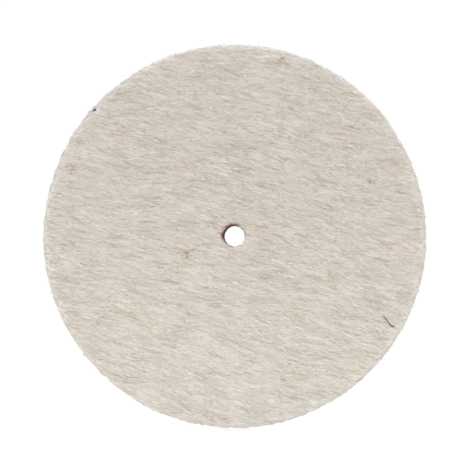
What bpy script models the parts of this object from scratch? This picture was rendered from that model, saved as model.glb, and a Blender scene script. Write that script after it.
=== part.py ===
"""A felt polishing wheel: one disc of pressed wool felt with a plain arbor hole through it.

Units are metres, with +Z up. The origin is the middle of the wheel, on the hole's axis and
halfway through the felt. The wheel turns about Y, and its front face looks along -Y.
"""

import math

import bmesh
import bpy

# Driving dimensions
WHEEL_DIAMETER = 0.1524  # a 6 inch wheel
FELT_THICKNESS = 0.0127  # half-inch felt
HOLE_DIAMETER = 0.0080  # for a 5/16 inch or 8 mm arbor
RIM_ROUNDING = 0.0020  # how far the corners of the cut rim are rounded over
LIP_ROUNDING = 0.0007  # how far the mouths of the hole are rounded over

# Fineness of the faceted surface
TURN_STEPS = 96
RIM_ARC_STEPS = 4
LIP_ARC_STEPS = 3

# Natural wool felt: warm off-white (linear), dull all over
FELT_COLOUR = (0.640, 0.590, 0.515, 1.0)
FELT_ROUGHNESS = 0.95
SHARP_ANGLE = math.radians(40)


def clear_scene():
    """Start from an empty scene."""
    for old in list(bpy.data.objects):
        bpy.data.objects.remove(old, do_unlink=True)


def felt_material():
    """Undyed pressed wool, with no metal and next to no gloss."""
    material = bpy.data.materials.new("wool_felt")
    material.use_nodes = True
    shader = material.node_tree.nodes["Principled BSDF"]
    shader.inputs["Base Color"].default_value = FELT_COLOUR
    shader.inputs["Roughness"].default_value = FELT_ROUGHNESS
    shader.inputs["Metallic"].default_value = 0.0
    return material


def corner(radius_at, y_at, rounding, start_quarter, steps):
    """Points (radius, y) of a quarter round centred on (radius_at, y_at), turning anticlockwise."""
    points = []
    for step in range(steps + 1):
        angle = (start_quarter + step / steps) * math.pi / 2
        points.append((radius_at + rounding * math.cos(angle), y_at + rounding * math.sin(angle)))
    return points


def section():
    """The felt's cross-section, a long thin rectangle with rounded corners, as (radius, y)."""
    outer = WHEEL_DIAMETER / 2 - RIM_ROUNDING
    inner = HOLE_DIAMETER / 2 + LIP_ROUNDING
    rim_y = FELT_THICKNESS / 2 - RIM_ROUNDING
    lip_y = FELT_THICKNESS / 2 - LIP_ROUNDING
    return (
        corner(outer, rim_y, RIM_ROUNDING, 0, RIM_ARC_STEPS)
        + corner(inner, lip_y, LIP_ROUNDING, 1, LIP_ARC_STEPS)
        + corner(inner, -lip_y, LIP_ROUNDING, 2, LIP_ARC_STEPS)
        + corner(outer, -rim_y, RIM_ROUNDING, 3, RIM_ARC_STEPS)
    )


def felt_disc():
    """The wheel: its cross-section turned once round the Y axis into one closed solid."""
    turned = bmesh.new()
    loop = [turned.verts.new((radius, y, 0.0)) for radius, y in section()]
    edges = [turned.edges.new((loop[i - 1], loop[i])) for i in range(len(loop))]
    bmesh.ops.spin(
        turned,
        geom=loop + edges,
        cent=(0, 0, 0),
        axis=(0, 1, 0),
        angle=2 * math.pi,
        steps=TURN_STEPS,
        use_merge=True,
    )
    bmesh.ops.recalc_face_normals(turned, faces=turned.faces)
    mesh = bpy.data.meshes.new("felt_disc")
    turned.to_mesh(mesh)
    turned.free()
    mesh.shade_smooth()
    mesh.set_sharp_from_angle(angle=SHARP_ANGLE)
    mesh.materials.append(felt_material())
    disc = bpy.data.objects.new("felt_disc", mesh)
    bpy.context.scene.collection.objects.link(disc)
    return disc


clear_scene()
felt_disc()
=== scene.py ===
"""The looks of a felt polishing wheel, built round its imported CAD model.

The wheel is one disc of pressed wool, so every piece here is wool: a matted body that stands for
the CAD disc, thousands of fibres that lie on it like combed hair, the fuzz that stands off it,
and the one dark hair and the few brown and tan flecks that are caught in it. Metres, +Z up. The
wheel's axis is Y, and its front face looks along -Y.
"""

import math

import bpy
import numpy as np
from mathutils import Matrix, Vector


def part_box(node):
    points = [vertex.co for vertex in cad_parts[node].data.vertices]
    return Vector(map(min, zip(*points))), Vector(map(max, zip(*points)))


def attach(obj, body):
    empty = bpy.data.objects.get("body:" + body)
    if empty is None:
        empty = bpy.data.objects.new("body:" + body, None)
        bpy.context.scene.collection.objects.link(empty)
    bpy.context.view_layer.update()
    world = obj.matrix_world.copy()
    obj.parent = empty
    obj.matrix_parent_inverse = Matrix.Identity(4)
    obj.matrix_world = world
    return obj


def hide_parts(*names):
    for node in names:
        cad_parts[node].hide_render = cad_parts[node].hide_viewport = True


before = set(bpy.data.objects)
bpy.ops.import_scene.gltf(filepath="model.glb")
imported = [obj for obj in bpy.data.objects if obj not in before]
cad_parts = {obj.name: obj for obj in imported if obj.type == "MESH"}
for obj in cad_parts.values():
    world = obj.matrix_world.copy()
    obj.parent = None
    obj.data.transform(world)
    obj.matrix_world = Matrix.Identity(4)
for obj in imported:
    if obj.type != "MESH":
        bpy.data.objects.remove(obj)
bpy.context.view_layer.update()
DISC = "felt_disc"
DISC_LOW, DISC_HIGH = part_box(DISC)
MM = 0.001

# The wheel's sizes, from the CAD disc, with corners a little rounder than the CAD's
WHEEL_RADIUS = DISC_HIGH.x
HALF_THICKNESS = DISC_HIGH.y
HOLE_RADIUS = min(math.hypot(v.co.x, v.co.z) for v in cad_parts[DISC].data.vertices)
RIM_ROUNDING = 2.2 * MM
LIP_ROUNDING = 0.8 * MM

# How uneven the felt is: soft swells, a finer grain, and a rim that is nibbled. It lies a little
# below the smooth wheel so that its fibres come up to size, and lower still inside the hole
SWELL = 0.02 * MM
GRAIN = 0.02 * MM
NIBBLE = 0.17 * MM
SET_IN = 0.12 * MM
HOLE_SET_IN = 0.2 * MM

# The lay: wool is combed before it is pressed, so its fibres run one way, a little downhill,
# and a little more steeply towards the lower right. They sway gently and kink more sharply
LAY_ANGLE = math.radians(-13.6)
LAY_STEEPENING = math.radians(3.0)
LAY_SWAY = math.radians(3.0)
LAY_KINK = math.radians(5.0)
LAY = np.array([math.cos(LAY_ANGLE), 0.0, math.sin(LAY_ANGLE)])
ACROSS = np.array([-math.sin(LAY_ANGLE), 0.0, math.cos(LAY_ANGLE)])
THROUGH = np.array([0.0, 1.0, 0.0])

SEED = 7
FRONT, BACK = -1, 1


# ---------------------------------------------------------------- fields and the wheel's surface


def wave_field(seed, length, width, waves=48):
    """A smooth random field of unit size, longer along the lay than across it.

    It is a sum of plane waves, so it is the same at the same place on every run.
    """
    rng = np.random.default_rng((SEED, seed))
    along = rng.normal(0, 1 / length, waves)[:, None] * LAY
    across = rng.normal(0, 1 / width, waves)[:, None] * ACROSS
    through = rng.normal(0, 1 / width, waves)[:, None] * THROUGH
    vectors = along + across + through
    phases = rng.uniform(0, 2 * math.pi, waves)

    def field(points):
        total = np.zeros(points.shape[:-1])
        for vector, phase in zip(vectors, phases):
            total += np.cos(points @ vector + phase)
        return total * math.sqrt(2 / waves)

    return field


sway_field = wave_field(1, 12 * MM, 12 * MM)
kink_field = wave_field(2, 3.6 * MM, 1.8 * MM)
lock_tone = wave_field(3, 2.6 * MM, 0.4 * MM)
lock_tint = wave_field(7, 2.6 * MM, 0.8 * MM)
face_swell = wave_field(4, 6 * MM, 4 * MM)
face_grain = wave_field(5, 1.8 * MM, 0.7 * MM)
rim_nibble = wave_field(6, 0.8 * MM, 0.8 * MM)


def wheel_surface(points):
    """Signed distance of points from the smooth wheel, and the outward normal at each.

    The wheel's section is a long thin rectangle with its corners rounded, more at the rim than
    at the mouths of the hole.
    """
    radius = np.hypot(points[..., 0], points[..., 2])
    middle = (WHEEL_RADIUS + HOLE_RADIUS) / 2
    outward = np.where(radius > middle, 1.0, -1.0)
    rounding = np.where(radius > middle, RIM_ROUNDING, LIP_ROUNDING)
    across = np.abs(radius - middle) - ((WHEEL_RADIUS - HOLE_RADIUS) / 2 - rounding)
    up = np.abs(points[..., 1]) - (HALF_THICKNESS - rounding)
    beyond = np.hypot(np.maximum(across, 0), np.maximum(up, 0))
    distance = beyond + np.minimum(np.maximum(across, up), 0) - rounding

    on_corner = (across > 0) & (up > 0)
    safe = np.where(beyond > 0, beyond, 1.0)
    part_across = np.where(on_corner, across / safe, across > up)
    part_up = np.where(on_corner, up / safe, across <= up)
    spoke = points / np.where(radius > 0, radius, 1.0)[..., None]
    normal = (part_across * outward)[..., None] * spoke
    normal[..., 1] = part_up * np.sign(points[..., 1])
    return distance, normal


def felt_height(points, normal):
    """How far the real felt stands off the smooth wheel, which is mostly a little below it.

    The rim is nibbled the most, the wall of the hole less, and the faces not at all.
    """
    sideways = normal[..., 0] * points[..., 0] + normal[..., 2] * points[..., 2]
    rim_share = np.clip(np.hypot(normal[..., 0], normal[..., 2]), 0, 1)
    swell = SWELL * face_swell(points) + GRAIN * face_grain(points)
    nibble = NIBBLE * rim_nibble(points)
    bore_share = np.where(sideways < 0, rim_share, 0.0)
    return swell + (rim_share - 0.6 * bore_share) * nibble - SET_IN - HOLE_SET_IN * bore_share


def on_felt(points):
    """Moves points onto the felt's surface, and gives the outward normal there."""
    distance, normal = wheel_surface(points)
    points = points - distance[..., None] * normal
    return points + felt_height(points, normal)[..., None] * normal, normal


# ---------------------------------------------------------------- meshes


def mesh_object(name, points, faces, values=None):
    """A smooth-shaded object from arrays of points and faces, with named values at its points."""
    mesh = bpy.data.meshes.new(name)
    mesh.vertices.add(len(points))
    mesh.vertices.foreach_set("co", points.astype(np.float32).ravel())
    corners = np.concatenate([f.ravel() for f in faces]).astype(np.int32)
    sizes = np.concatenate([np.full(len(f), f.shape[1], np.int32) for f in faces])
    mesh.loops.add(len(corners))
    mesh.loops.foreach_set("vertex_index", corners)
    mesh.polygons.add(len(sizes))
    mesh.polygons.foreach_set("loop_start", np.cumsum(sizes, dtype=np.int32) - sizes)
    mesh.update(calc_edges=True)
    mesh.shade_smooth()
    for key, value in (values or {}).items():
        mesh.attributes.new(key, "FLOAT", "POINT").data.foreach_set("value", value)
    made = bpy.data.objects.new(name, mesh)
    bpy.context.scene.collection.objects.link(made)
    return made


def body_object():
    """The matted body: the wheel's section turned round the Y axis, then roughened like felt."""
    sectors, face_rings, rim_rings, bore_rings = 512, 56, 14, 12
    rim_steps, lip_steps = 5, 4
    outer, inner = WHEEL_RADIUS - RIM_ROUNDING, HOLE_RADIUS + LIP_ROUNDING

    def arc(radius_at, y_at, rounding, quarter, steps):
        angles = (quarter + np.arange(steps + 1) / steps) * math.pi / 2
        return np.stack([radius_at + rounding * np.cos(angles), y_at + rounding * np.sin(angles)], 1)

    def run(start, end, steps):
        share = (np.arange(1, steps) / steps)[:, None]
        return start + (end - start) * share

    rim_y, lip_y = HALF_THICKNESS - RIM_ROUNDING, HALF_THICKNESS - LIP_ROUNDING
    corners = [
        arc(outer, rim_y, RIM_ROUNDING, 0, rim_steps),
        arc(inner, lip_y, LIP_ROUNDING, 1, lip_steps),
        arc(inner, -lip_y, LIP_ROUNDING, 2, lip_steps),
        arc(outer, -rim_y, RIM_ROUNDING, 3, rim_steps),
    ]
    counts = [face_rings, bore_rings, face_rings, rim_rings]
    section = []
    for i, corner in enumerate(corners):
        section += [corner, run(corner[-1], corners[(i + 1) % 4][0], counts[i])]
    section = np.concatenate(section)

    turn = np.arange(sectors) / sectors * 2 * math.pi
    spokes = np.stack([np.cos(turn), np.zeros(sectors), np.sin(turn)], 1)
    points = section[None, :, :1] * spokes[:, None, :] + section[None, :, 1:] * THROUGH
    points, _ = on_felt(points)

    rings = len(section)
    index = np.arange(sectors * rings).reshape(sectors, rings)
    ahead, below = np.roll(index, -1, 0), np.roll(index, -1, 1)
    diagonal = np.roll(ahead, -1, 1)
    quads = np.stack([index, below, diagonal, ahead], -1).reshape(-1, 4)
    return mesh_object("felt_body", points.reshape(-1, 3), [quads])


def strand_object(name, paths, normals, half_width, half_height, **thread_values):
    """Closed threads along paths, each a low three-sided ridge that tapers to a point at its ends.

    The thread values are named arrays with one number for each thread, for its material to read.
    """
    count, steps, _ = paths.shape
    ahead = np.gradient(paths, axis=1)
    ahead /= np.linalg.norm(ahead, axis=2, keepdims=True)
    side = np.cross(ahead, normals)
    side /= np.maximum(np.linalg.norm(side, axis=2, keepdims=True), 1e-9)
    up = np.cross(side, ahead)
    taper = np.sin(np.linspace(0, math.pi, steps)[1:-1]) ** 0.6
    middle = paths[:, 1:-1]
    wide = side[:, 1:-1] * (half_width[:, None] * taper)[..., None]
    high = up[:, 1:-1] * (half_height[:, None] * taper)[..., None]
    ring = np.stack([middle + wide - high, middle + high, middle - wide - high], 2)
    tips = paths[:, [0, -1]]
    each = 3 * (steps - 2) + 2
    points = np.concatenate([ring.reshape(count, -1, 3), tips], 1)

    local = np.arange(3 * (steps - 2)).reshape(steps - 2, 3)
    near, far = local[:-1], local[1:]
    quads = np.stack([near, np.roll(near, -1, 1), np.roll(far, -1, 1), far], -1).reshape(-1, 4)
    first, last = local[0], local[-1]
    start = np.stack([np.full(3, each - 2), np.roll(first, -1), first], -1)
    end = np.stack([np.full(3, each - 1), last, np.roll(last, -1)], -1)
    offset = (np.arange(count) * each)[:, None, None]
    faces = [(quads + offset).reshape(-1, 4), (np.concatenate([start, end]) + offset).reshape(-1, 3)]
    values = {key: np.repeat(value, each) for key, value in thread_values.items()}
    return mesh_object(name, points.reshape(-1, 3), faces, values)


def tube_object(name, path, normal, half_width):
    """A round closed thread along one path, with its own half width at each point."""
    sides = 6
    ahead = np.gradient(path, axis=0)
    ahead /= np.linalg.norm(ahead, axis=1, keepdims=True)
    side = np.cross(ahead, normal)
    turn = np.arange(sides) / sides * 2 * math.pi
    ring = side[:, None, :] * np.cos(turn)[:, None] + normal[:, None, :] * np.sin(turn)[:, None]
    points = path[:, None, :] + half_width[:, None, None] * ring
    index = np.arange(len(path) * sides).reshape(-1, sides)
    near, far = index[:-1], index[1:]
    quads = np.stack([near, far, np.roll(far, -1, 1), np.roll(near, -1, 1)], -1).reshape(-1, 4)
    caps = np.stack([index[0], index[-1][::-1]])
    return mesh_object(name, points.reshape(-1, 3), [quads, caps])


# ---------------------------------------------------------------- fibres


def on_face(side):
    """Gives a function that spreads places evenly over the front or the back face."""

    def places(rng, count):
        radius = np.sqrt(rng.uniform(HOLE_RADIUS**2, WHEEL_RADIUS**2, count))
        angle = rng.uniform(0, 2 * math.pi, count)
        y = np.full(count, side * HALF_THICKNESS)
        return np.stack([radius * np.cos(angle), y, radius * np.sin(angle)], 1)

    return places


def on_wall(radius, first=0, last=360):
    """Gives a function that spreads places evenly round the rim or the wall of the hole.

    The places lie between the first and the last angle, in degrees from +X.
    """

    def places(rng, count):
        angle = np.radians(rng.uniform(first, last, count))
        y = rng.uniform(-HALF_THICKNESS, HALF_THICKNESS, count)
        return np.stack([radius * np.cos(angle), y, radius * np.sin(angle)], 1)

    return places


def lay_at(points, normal, turn):
    """The way that a fibre runs at each point, flat on the felt and turned a little.

    On the faces it follows the lay. On the cut walls it goes round with the felt's layers.
    """
    lower_right = (points[:, 0] - points[:, 2]) / WHEEL_RADIUS
    sway = LAY_SWAY * sway_field(points) + LAY_KINK * kink_field(points)
    sway = sway + turn - LAY_STEEPENING * lower_right
    on_wall_share = np.clip(np.hypot(normal[:, 0], normal[:, 2]), 0, 1)[:, None]
    round_wheel = np.cross(THROUGH, normal)
    round_wheel *= np.where(round_wheel @ LAY < 0, -1.0, 1.0)[:, None]
    along = (1 - on_wall_share) * LAY + on_wall_share * round_wheel
    across = (1 - on_wall_share) * ACROSS + on_wall_share * THROUGH
    ahead = np.cos(sway)[:, None] * along + np.sin(sway)[:, None] * across
    ahead -= (ahead * normal).sum(1)[:, None] * normal
    return ahead / np.maximum(np.linalg.norm(ahead, axis=1, keepdims=True), 1e-6)


def laid_paths(rng, start, length, steps, wander, curl):
    """Fibres through start, traced both ways over the felt, with the outward normal along each.

    They wander from the lay, each to its own side, and curl as they go, both in degrees.
    """
    count = len(start)
    turn = rng.normal(0, math.radians(wander), count)
    phase = rng.uniform(0, 2 * math.pi, count)
    pace = rng.uniform(0.6, 1.6, count) * math.pi
    middle, normal = on_felt(start)
    stride = (length / (2 * steps))[:, None]
    ways = []
    for way in (-1, 1):
        at, up, seen = middle, normal, []
        for step in range(1, steps + 1):
            bend = turn + math.radians(curl) * np.sin(phase + way * pace * step / steps)
            at, up = on_felt(at + way * stride * lay_at(at, up, bend))
            seen.append((at, up))
        ways.append(seen)
    both = ways[0][::-1] + [(middle, normal)] + ways[1]
    paths = np.stack([p for p, _ in both], 1)
    normals = np.stack([n for _, n in both], 1)
    return paths, normals


def wool_tints(rng, start, tan_share):
    """Each fibre's own tint, from -1 for cool to 1 for tan.

    Dark locks are a little tan, and there are rare tan and cool clumps and odd fibres.
    """
    tan_from, cool_from, cool_share = 1.65, 1.35, 0.01
    clump = lock_tint(start)
    tint = 0.5 * np.clip(clump - tan_from, 0, 0.8) - 0.3 * np.maximum(-clump - cool_from, 0)
    tint -= 0.08 * lock_tone(start)
    odd = rng.uniform(0, 1, len(start))
    tint[odd < tan_share] += 0.3
    tint[odd > 1 - cool_share] -= 0.25
    return tint


def laid_fibres(
    name,
    seed,
    places,
    count,
    length,
    width,
    rise,
    steps=3,
    wander=12,
    curl=10,
    tone=0.5,
    tan_share=0.012,
):
    """A coat of fibres that lie in the felt: their middles stand proud and their ends sink in."""
    rng = np.random.default_rng((SEED, seed))
    start = places(rng, count)
    lengths = length * np.minimum(rng.lognormal(0, 0.4, count), 2.4)
    paths, normals = laid_paths(rng, start, lengths, steps, wander, curl)
    arch = np.sin(np.linspace(0, math.pi, paths.shape[1]))
    proud = rise * (rng.uniform(-0.6, 1.0, count)[:, None] + 0.9 * (arch - 0.7))
    paths = paths + proud[..., None] * normals
    half_width = width / 2 * rng.lognormal(0, 0.3, count)
    half_height = half_width * 0.35  # matted flat
    tone = tone + 0.08 * lock_tone(start) + 0.11 * rng.standard_t(8, count)
    tint = wool_tints(rng, start, tan_share)
    tone -= 0.2 * np.maximum(tint, 0)
    tone, tint = np.clip(tone, 0, 1), np.clip(tint, -1, 1)
    return strand_object(name, paths, normals, half_width, half_height, tone=tone, tint=tint)


def standing_fuzz(name, seed, places, count, length, width):
    """Short loose fibre ends that stand off the felt, leaning and curling at random.

    Each is as thick as it is wide, and starts a little below the surface.
    """
    rng = np.random.default_rng((SEED, seed))
    root, normal = on_felt(places(rng, count))
    lean = rng.normal(0, 0.75, (count, 3))
    lean -= (lean * normal).sum(1)[:, None] * normal
    curl = rng.normal(0, 0.6, (count, 3))
    share = np.linspace(-0.25, 1, 6)[None, :, None]
    lengths = (length * np.minimum(rng.lognormal(0, 0.5, count), 2.0))[:, None, None]
    ahead = (normal + lean)[:, None, :] * share + curl[:, None, :] * share**2
    paths = root[:, None, :] + lengths * ahead
    normals = np.repeat(lean[:, None, :] + 0.01, paths.shape[1], 1)
    half_width = width / 2 * rng.lognormal(0, 0.2, count)
    tone = np.clip(rng.normal(0.9, 0.12, count), 0, 1)
    tint = np.zeros(count)
    return strand_object(name, paths, normals, half_width, half_width, tone=tone, tint=tint)


# ---------------------------------------------------------------- strays


def front_place(share, degrees):
    """A place on the front face, by its share of the wheel's radius and its angle from +X."""
    angle = math.radians(degrees)
    radius = share * WHEEL_RADIUS
    return np.array([radius * math.cos(angle), -HALF_THICKNESS, radius * math.sin(angle)])


def stray_hair(name, place, bends, width, lift):
    """One hair lying on the front face.

    Each bend is a distance along the hair and the heading there, in degrees from +X. The width is
    given at the start, the middle and the end.
    """
    far = bends[-1][0]
    steps = 24
    along = np.linspace(0, far, steps)
    heading = np.radians(np.interp(along, [b[0] for b in bends], [b[1] for b in bends]))
    stride = far / (steps - 1)
    ahead = np.stack([np.cos(heading), 0 * heading, np.sin(heading)], 1)
    path, normal = on_felt(place + np.cumsum(ahead, 0) * stride)
    half_width = np.interp(along, [0, far / 2, far], width) / 2
    return tube_object(name, path + lift * normal, normal, half_width)


def fleck(name, seed, place, count, spread, length, width):
    """A tight tangle of a few short coloured fibres, caught in the top of the felt."""
    rng = np.random.default_rng((SEED, seed))
    start = place + rng.normal(0, spread, (count, 3)) * (1 - THROUGH)
    lengths = length * rng.lognormal(0, 0.3, count)
    paths, normals = laid_paths(rng, start, lengths, steps=3, wander=45, curl=40)
    paths = paths + (rng.uniform(0.06, 0.18, count) * MM)[:, None, None] * normals
    half_width = width / 2 * rng.lognormal(0, 0.2, count)
    return strand_object(name, paths, normals, half_width, half_width)


# ---------------------------------------------------------------- materials


class Nodes:
    """A node tree, with short ways to add and join nodes."""

    def __init__(self, tree):
        self.tree = tree

    def add(self, kind, settings=None, inputs=(), **named):
        """Adds a node, sets its properties, and sets or links its inputs in order and by name."""
        node = self.tree.nodes.new("ShaderNode" + kind)
        for key, value in (settings or {}).items():
            setattr(node, key, value)
        for socket, value in zip(node.inputs, inputs):
            self.feed(socket, value)
        for key, value in named.items():
            self.feed(node.inputs[key.replace("_", " ")], value)
        return node

    def feed(self, socket, value):
        """Links an output to a socket, or sets the socket's own value."""
        if isinstance(value, bpy.types.NodeSocket):
            self.tree.links.new(value, socket)
        else:
            socket.default_value = value

    def math(self, operation, *values, clamp=False):
        """One arithmetic node."""
        return self.add("Math", {"operation": operation, "use_clamp": clamp}, values).outputs[0]

    def vector(self, operation, *values):
        """One vector arithmetic node."""
        return self.add("VectorMath", {"operation": operation}, values).outputs["Vector"]

    def spread(self, value, low, high):
        """A value's place between low and high, from 0 to 1."""
        settings = {"interpolation_type": "SMOOTHSTEP"}
        return self.add("MapRange", settings, (value, low, high)).outputs["Result"]

    def mix(self, factor, first, second):
        """A mix of two colours."""
        node = self.add("Mix", {"data_type": "RGBA"}, Factor=factor)
        for socket, value in zip([s for s in node.inputs if s.type == "RGBA"], (first, second)):
            self.feed(socket, value)
        return next(s for s in node.outputs if s.type == "RGBA")

    def noise(self, vector, scale, detail=2.0, roughness=0.5):
        """Noise round 0.5 at a place."""
        return self.add("TexNoise", Vector=vector, Scale=scale, Detail=detail, Roughness=roughness)


def new_material(name):
    """A material, its nodes, and the inputs of its shader."""
    material = bpy.data.materials.new(name)
    material.use_nodes = True
    nodes = Nodes(material.node_tree)
    return material, nodes, nodes.tree.nodes["Principled BSDF"].inputs


def linear(red, green, blue):
    """A colour given as it looks on screen, 0 to 255, as the linear value that shaders use."""
    return (*(((c / 255 + 0.055) / 1.055) ** 2.4 for c in (red, green, blue)), 1.0)


# The darkest wool tone, also used for the short dark fibres painted as shade between the fibres
WOOL_DARK = linear(151, 142, 130)
WOOL_MID = linear(208, 201, 191)
WOOL_LIGHT = linear(228, 222, 213)
# Whiter wool for the painted highlight round the rim
RIM_HIGHLIGHT = linear(236, 236, 233)
WOOL_TAN = linear(198, 170, 145)
WOOL_COOL = linear(216, 215, 220)
# Browns of the hole: brown wool darkened with painted shade, dark down inside and at the upper-left
# lip, lighter round that side of the mouth
DARK_BROWN_SHADE = linear(96, 66, 47)
BROWN_LIP_SHADE = linear(166, 128, 104)

# Streaks in the wool's colour, and the side of the hole that is painted with shade, as a direction
STREAK_LENGTH = 4.2 * MM
STREAK_WIDTH = 0.4 * MM
UPPER_LEFT = (-0.74, 0.0, 0.67)


def streaky_place(nodes, place):
    """A place warped a little, turned to the lay and squeezed, so that noise there makes streaks."""
    sway = nodes.noise(place, 140.0, 1.0).outputs["Color"]
    shift = nodes.vector("SUBTRACT", sway, (0.5, 0.5, 0.5))
    warped = nodes.vector("MULTIPLY_ADD", shift, (2.4 * MM, 0.8 * MM, 2.4 * MM), place)
    turned = nodes.add("Mapping", {"vector_type": "TEXTURE"}, Vector=warped)
    turned.inputs["Rotation"].default_value = (0.0, -LAY_ANGLE, 0.0)
    turned.inputs["Scale"].default_value = (STREAK_LENGTH, STREAK_WIDTH, STREAK_WIDTH)
    return turned.outputs["Vector"]


def wool_shade(nodes, level, tint):
    """The colour of wool from its tone, 0 to 1, and its tint, -1 for cool to 1 for tan."""
    shade = nodes.mix(nodes.spread(level, -0.15, 0.55), WOOL_DARK, WOOL_MID)
    shade = nodes.mix(nodes.spread(level, 0.45, 1.0), shade, WOOL_LIGHT)
    if tint is not None:
        shade = nodes.mix(nodes.math("MULTIPLY", tint, 0.75, clamp=True), shade, WOOL_TAN)
        shade = nodes.mix(nodes.math("MULTIPLY", tint, -1.1, clamp=True), shade, WOOL_COOL)
    return shade


def mottled_with_painted_light(nodes, place, shade):
    """Faint pink, green, yellow and blue clumps, with painted light that makes the felt paler and
    cooler towards the bottom.

    Each size of clump has a noise scale, how far it goes to pink or green, and to blue or yellow.
    """
    clump_sizes = ((260.0, 0.05, 0.08), (95.0, 0.04, 0.045), (11.0, 0.015, 0.02))
    gain = (1.0, 1.0, 1.0)
    for scale, pink, blue in clump_sizes:
        clumps = nodes.add("SeparateColor", inputs=(nodes.noise(place, scale, 1.5).outputs["Color"],))
        pinkness = nodes.math("SUBTRACT", clumps.outputs["Red"], 0.5)
        blueness = nodes.math("SUBTRACT", clumps.outputs["Green"], 0.5)
        gain = nodes.vector("MULTIPLY_ADD", pinkness, (pink, -pink / 2, -pink / 6), gain)
        gain = nodes.vector("MULTIPLY_ADD", blueness, (-blue / 8, -blue / 8, blue), gain)
    shade = nodes.vector("MULTIPLY", shade, gain)
    # Painted light: paler and cooler towards the bottom, as if lit from below
    height = nodes.add("SeparateXYZ", inputs=(place,)).outputs["Z"]
    painted_light_below = nodes.spread(height, 0.5 * WHEEL_RADIUS, -1.3 * WHEEL_RADIUS)
    gain = nodes.vector("MULTIPLY_ADD", painted_light_below, (0.128, 0.148, 0.149), (1.008, 1.0, 0.994))
    return nodes.vector("MULTIPLY", shade, gain)


def painted_rim_highlight(nodes, radius, shade):
    """Painted highlight: whiter wool round the cut rim, standing in for the light that the rounded
    rim catches.
    """
    edge = nodes.spread(radius, WHEEL_RADIUS - 3.4 * MM, WHEEL_RADIUS - 0.1 * MM)
    return nodes.mix(nodes.math("MULTIPLY", edge, 0.22), shade, RIM_HIGHLIGHT)


def brown_hole_shade(nodes, place, flat, radius, depth, shade):
    """A hole that is dark brown down inside, and brown round the upper-left side of its mouth with a
    darker lip there: brown wool darkened with painted shade.

    The brown patch and the darker lip within it have ragged edges.
    """
    uneven = nodes.math("SUBTRACT", nodes.noise(place, 900.0, 3.0, 0.6).outputs["Fac"], 0.5)
    ragged = nodes.math("MULTIPLY_ADD", uneven, 1.8 * MM, radius)

    upper_left = nodes.add("VectorMath", {"operation": "DOT_PRODUCT"}, (flat, UPPER_LEFT))
    side = nodes.spread(upper_left.outputs["Value"], -0.1 * HOLE_RADIUS, 0.9 * HOLE_RADIUS)
    near = nodes.spread(ragged, HOLE_RADIUS + 1.8 * MM, HOLE_RADIUS + 0.4 * MM)
    # Painted shade: brown round the upper-left side of the mouth
    shade = nodes.mix(nodes.math("MULTIPLY", side, near), shade, BROWN_LIP_SHADE)
    # Painted shade: a darker lip on that side
    dark_lip = nodes.spread(ragged, HOLE_RADIUS + 0.85 * MM, HOLE_RADIUS + 0.3 * MM)
    shade = nodes.mix(nodes.math("MULTIPLY", side, dark_lip), shade, DARK_BROWN_SHADE)

    # Painted shade: dark brown down inside the hole, all round
    inside = nodes.spread(radius, HOLE_RADIUS + 0.8 * MM, HOLE_RADIUS + 0.45 * MM)
    deep = nodes.spread(depth, 0.4 * MM, 1.1 * MM)
    return nodes.mix(nodes.math("MULTIPLY", inside, deep), shade, DARK_BROWN_SHADE)


def felt_material(name, has_fibres):
    """Undyed pressed wool: streaky off-white, faintly mottled and dull, painted paler towards the
    bottom and whiter round the rim as painted light, and dark brown with painted shade inside the
    hole and round the upper left of its mouth.

    The tone and the tint are each fibre's own. The body has no tint, and its tone is noise.
    """
    material, nodes, shader = new_material(name)
    place = nodes.add("TexCoord").outputs["Object"]
    streaky = streaky_place(nodes, place)
    if has_fibres:
        fine = nodes.noise(streaky, 2.6, 2.0, 0.6).outputs["Fac"]
        own = nodes.add("Attribute", {"attribute_name": "tone"}).outputs["Fac"]
        level = nodes.math("MULTIPLY_ADD", nodes.math("SUBTRACT", fine, 0.5), 0.3, own, clamp=True)
        tint = nodes.add("Attribute", {"attribute_name": "tint"}).outputs["Fac"]
        relief, relief_depth = fine, 0.06 * MM
    else:
        streaks = nodes.noise(streaky, 1.0, 4.0, 0.62).outputs["Fac"]
        level = nodes.spread(streaks, 0.18, 0.82)
        tint = None
        relief, relief_depth = streaks, 0.12 * MM
    shade = wool_shade(nodes, level, tint)
    flat = nodes.vector("MULTIPLY", place, (1.0, 0.0, 1.0))
    radius = nodes.add("VectorMath", {"operation": "LENGTH"}, (flat,)).outputs["Value"]
    beside = nodes.math("ABSOLUTE", nodes.add("SeparateXYZ", inputs=(place,)).outputs["Y"])
    depth = nodes.math("SUBTRACT", HALF_THICKNESS, beside)
    # Faint coloured clumps, with painted light from below
    shade = mottled_with_painted_light(nodes, place, shade)
    # Painted highlight round the rim
    shade = painted_rim_highlight(nodes, radius, shade)
    # Brown with painted shade inside the hole and round the upper left of its mouth
    shade = brown_hole_shade(nodes, place, flat, radius, depth, shade)

    bump = nodes.add("Bump", Height=relief, Strength=0.35, Distance=relief_depth)
    nodes.feed(shader["Normal"], bump.outputs["Normal"])
    nodes.feed(shader["Base Color"], shade)
    shader["Roughness"].default_value = 0.9
    shader["Specular IOR Level"].default_value = 0.15
    shader["Sheen Weight"].default_value = 0.5
    shader["Sheen Roughness"].default_value = 0.35
    return material


def stray_material(name, dark, light):
    """Coloured hair: uneven along its length, and a little glossier than wool."""
    material, nodes, shader = new_material(name)
    place = nodes.add("TexCoord").outputs["Object"]
    patches = nodes.noise(place, 2400.0, 2.0).outputs["Fac"]
    nodes.feed(shader["Base Color"], nodes.mix(nodes.spread(patches, 0.3, 0.7), dark, light))
    shader["Roughness"].default_value = 0.6
    shader["Specular IOR Level"].default_value = 0.3
    return material


# ---------------------------------------------------------------- the pieces


def dress(piece, material):
    """Gives a piece its material, and makes it move with the wheel."""
    piece.data.materials.append(material)
    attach(piece, "root")
    return piece


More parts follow.
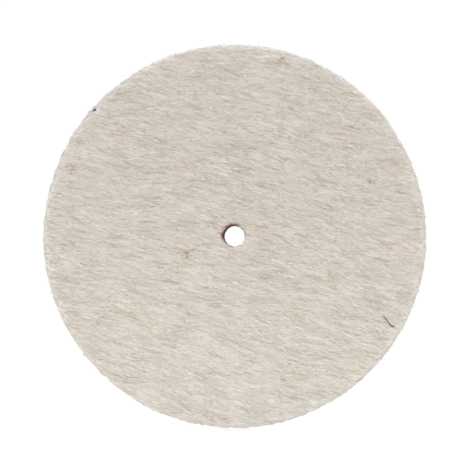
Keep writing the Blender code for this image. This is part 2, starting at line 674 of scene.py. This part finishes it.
def build_faces(fibre):
    """Both faces: flattened locks, shorter fibres across them, short dark fibres as painted shade in
    the gaps between fibres, loose hairs and fuzz.
    """
    for name, side, base in (("front", FRONT, 100), ("back", BACK, 200)):
        places = on_face(side)
        for coat in range(3):
            size = {"length": 7.4 * MM, "width": 0.31 * MM, "rise": 0.07 * MM}
            locks = laid_fibres(f"{name}_locks_{coat + 1}", base + coat, places, 6500, **size)
            dress(locks, fibre)
        size = {"length": 2.6 * MM, "width": 0.20 * MM, "rise": 0.08 * MM, "steps": 2}
        way = {"wander": 26, "curl": 18}
        dress(laid_fibres(f"{name}_crossing", base + 10, places, 8000, **size, **way), fibre)
        # Short dark fibres: painted shade, standing in for the shadowed gaps between the fibres
        size = {"length": 1.5 * MM, "width": 0.16 * MM, "rise": 0.08 * MM, "steps": 2}
        way = {"wander": 18, "curl": 14}
        colour = {"tone": 0.14, "tan_share": 0.06}
        dress(laid_fibres(f"{name}_gap_shade", base + 11, places, 6000, **size, **way, **colour), fibre)
        size = {"length": 6.5 * MM, "width": 0.11 * MM, "rise": 0.09 * MM, "steps": 4}
        way = {"wander": 14, "curl": 18}
        dress(laid_fibres(f"{name}_hairs", base + 12, places, 2000, **size, **way, tone=0.6), fibre)
        size = {"length": 0.35 * MM, "width": 0.04 * MM}
        dress(standing_fuzz(f"{name}_fuzz", base + 20, places, 6000, **size), fibre)


def build_edges(fibre):
    """The cut rim and the wall of the hole: shorter matted fibres, and the fuzz that stands off.

    The photo's outline is softest at the top, so the rim has more fuzz there.
    """
    rim, bore = on_wall(WHEEL_RADIUS), on_wall(HOLE_RADIUS)
    way = {"wander": 20, "curl": 15}
    size = {"length": 2.6 * MM, "width": 0.24 * MM, "rise": 0.05 * MM}
    dress(laid_fibres("rim_locks", 300, rim, 6200, **size, **way), fibre)
    size = {"length": 1.6 * MM, "width": 0.20 * MM, "rise": 0.05 * MM}
    dress(laid_fibres("hole_locks", 301, bore, 500, **size, **way), fibre)
    top = on_wall(WHEEL_RADIUS, 35, 150)
    coats = (
        ("rim_fuzz_1", rim, 5500, 0.30, 0.05),
        ("rim_fuzz_2", rim, 2600, 0.80, 0.04),
        ("rim_fuzz_3", top, 5000, 0.60, 0.03),
        ("hole_fuzz", bore, 500, 0.25, 0.03),
    )
    for i, (name, places, count, length, width) in enumerate(coats):
        dress(standing_fuzz(name, 310 + i, places, count, length * MM, width * MM), fibre)


def build_flecks(name, seed, places, length, material):
    """Flecks of one colour.

    Each place is a share of the wheel's radius, an angle from +X in degrees, the number of
    fibres, and how far they spread in millimetres.
    """
    for i, (share, degrees, count, spread) in enumerate(places):
        place = front_place(share, degrees)
        piece = fleck(f"{name}_{i + 1}", seed + i, place, count, spread * MM, length, 0.12 * MM)
        dress(piece, material)


def build_strays():
    """The hair and the flecks of other colours that are caught in the front face."""
    dark = stray_material("dark_hair", linear(42, 32, 26), linear(70, 57, 48))
    brown = stray_material("brown_fleck", linear(112, 78, 58), linear(158, 122, 98))
    tan = stray_material("tan_fleck", linear(188, 156, 124), linear(212, 184, 150))
    bends = ((0.0, -53), (5.1 * MM, -54), (5.3 * MM, -20), (6.2 * MM, -32), (6.6 * MM, 0))
    widths = (0.19 * MM, 0.24 * MM, 0.40 * MM)
    dress(stray_hair("dark_hair", front_place(0.875, -27.9), bends, widths, 0.2 * MM), dark)
    brown_places = (
        (0.985, 137.8, 20, 0.28),
        (0.266, 203.8, 5, 0.25),
        (0.962, 74.8, 6, 0.3),
        (0.060, 168.0, 12, 0.5),
        (0.060, 128.0, 9, 0.5),
    )
    tan_places = (
        (0.728, 65.7, 7, 0.2),
        (0.761, 21.6, 8, 0.4),
        (0.919, 157.6, 14, 0.9),
        (0.268, 199.6, 22, 1.1),
    )
    build_flecks("brown_fleck", 400, brown_places, 0.9 * MM, brown)
    build_flecks("tan_fleck", 410, tan_places, 1.6 * MM, tan)


def build_wheel():
    """The matted body with everything that lies on it and stands off it."""
    body = dress(body_object(), felt_material("matted_wool", has_fibres=False))
    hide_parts(DISC)
    fibre = felt_material("wool_fibre", has_fibres=True)
    build_faces(fibre)
    build_edges(fibre)
    build_strays()


# ---------------------------------------------------------------- camera, floor and light

WHEEL_SHARE = 0.8125
FRAME_WIDTH = WHEEL_RADIUS * 2 / WHEEL_SHARE
CAMERA_DISTANCE = 1.15
CAMERA_RIGHT = math.radians(1.8)
CAMERA_BELOW = math.radians(1.5)
AIM = Vector((0.57 * MM, 0.0, 0.15 * MM))


def place_camera():
    """Looks square at the front face, from a touch to its right and below its centre.

    The wheel takes up its share of the picture's width.
    """
    data = bpy.data.cameras.new("camera")
    data.sensor_width = 36
    data.lens = data.sensor_width * (CAMERA_DISTANCE - HALF_THICKNESS) / FRAME_WIDTH
    data.clip_start = 0.01
    camera = bpy.data.objects.new("camera", data)
    bpy.context.scene.collection.objects.link(camera)
    level = math.cos(CAMERA_BELOW)
    sideways, forward = math.sin(CAMERA_RIGHT) * level, -math.cos(CAMERA_RIGHT) * level
    back = Vector((sideways, forward, -math.sin(CAMERA_BELOW)))
    camera.location = AIM + back * CAMERA_DISTANCE
    camera.rotation_mode = "QUATERNION"
    camera.rotation_quaternion = (-back).to_track_quat("-Z", "Y")
    bpy.context.scene.camera = camera


def area_light(name, place, size, power):
    """A soft square light that shines on the wheel's centre."""
    data = bpy.data.lights.new(name, "AREA")
    data.size = size
    data.energy = power
    light = bpy.data.objects.new(name, data)
    bpy.context.scene.collection.objects.link(light)
    light.location = place
    light.rotation_euler = Vector(place).to_track_quat("Z", "Y").to_euler()
    light.visible_camera = False


def light_scene():
    """A white light tent whose sides glow more than its front and back, and three soft lights.

    The camera sees the tent itself as plain white.
    """
    face_on, from_sides, seen_white = 0.713, 1.42, 1.05
    world = bpy.data.worlds.new("white_tent")
    bpy.context.scene.world = world
    world.use_nodes = True
    nodes = Nodes(world.node_tree)
    background = nodes.tree.nodes["Background"].inputs
    background["Color"].default_value = (1, 1, 1, 1)
    way = nodes.add("SeparateXYZ", inputs=(nodes.add("TexCoord").outputs["Generated"],))
    ahead = nodes.math("ABSOLUTE", way.outputs["Y"])
    glow = nodes.add("MapRange", inputs=(ahead, 0.0, 1.0, from_sides, face_on)).outputs["Result"]
    seen = nodes.add("LightPath").outputs["Is Camera Ray"]
    strength = nodes.add("Mix", Factor=seen, A=glow, B=seen_white).outputs["Result"]
    nodes.feed(background["Strength"], strength)
    area_light("key", (0.1, -1.9, 1.3), 0.9, 4.0)
    area_light("top", (0.11, -0.02, 0.42), 0.3, 0.5)
    area_light("left", (-0.42, -0.02, 0.06), 0.3, 0.3)
    bpy.context.scene.view_settings.view_transform = "Standard"


def lay_floor():
    """A plain white floor under the wheel, lit enough that it stays pale."""
    mesh = bpy.data.meshes.new("floor")
    half, level = 6.0, DISC_LOW.z - 1.0 * MM  # just under the disc, among its fuzz
    corners = [(-half, -half, level), (half, -half, level), (half, half, level), (-half, half, level)]
    mesh.from_pydata(corners, [], [(0, 1, 2, 3)])
    floor = bpy.data.objects.new("floor", mesh)
    bpy.context.scene.collection.objects.link(floor)
    material, _, shader = new_material("white_floor")
    shader["Base Color"].default_value = (0.43, 0.43, 0.43, 1)
    shader["Roughness"].default_value = 1.0
    shader["Emission Color"].default_value = (1, 1, 1, 1)
    shader["Emission Strength"].default_value = 0.62
    mesh.materials.append(material)


build_wheel()
lay_floor()
light_scene()
place_camera()

bpy.context.view_layer.update()
